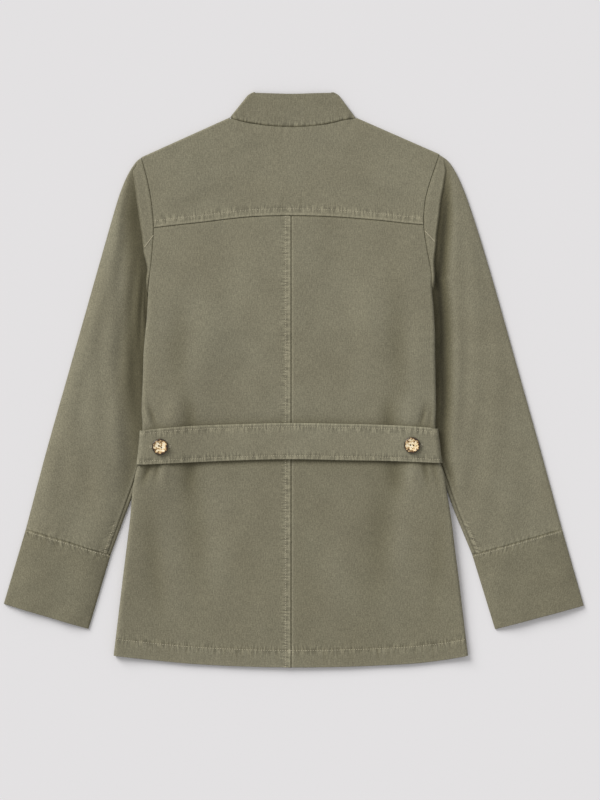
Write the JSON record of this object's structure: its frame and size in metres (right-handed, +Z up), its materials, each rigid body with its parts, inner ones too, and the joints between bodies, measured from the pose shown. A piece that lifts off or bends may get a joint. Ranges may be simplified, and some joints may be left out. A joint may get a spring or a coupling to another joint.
{
  "type": "jacket",
  "caption": "Hip-length cotton utility jacket with stand collar, yoke and buttoned half belt, laid flat with its back up.",
  "frame": {"origin": "on the surface the jacket lies on, under the middle of its outline", "axes": "+X to the wearer's right sleeve, +Y up the back to the collar, +Z up from the surface, out of the back"},
  "size_m": [0.7548, 0.7474, 0.0175],
  "materials": {
    "canvas": "garment-dyed cotton canvas, matt",
    "tortoiseshell": "polished tortoiseshell resin",
    "thread": "cotton sewing thread"
  },
  "bodies": {
    "root": {"collar": "canvas", "yoke": "canvas", "back_left": "canvas", "back_right": "canvas", "front_left": "canvas", "front_right": "canvas", "sleeve_top_left": "canvas", "sleeve_top_right": "canvas", "sleeve_under_left": "canvas", "sleeve_under_right": "canvas", "cuff_left": "canvas", "cuff_right": "canvas", "half_belt": "canvas", "button_left": "tortoiseshell", "button_right": "tortoiseshell"}
  },
  "joints": []
}
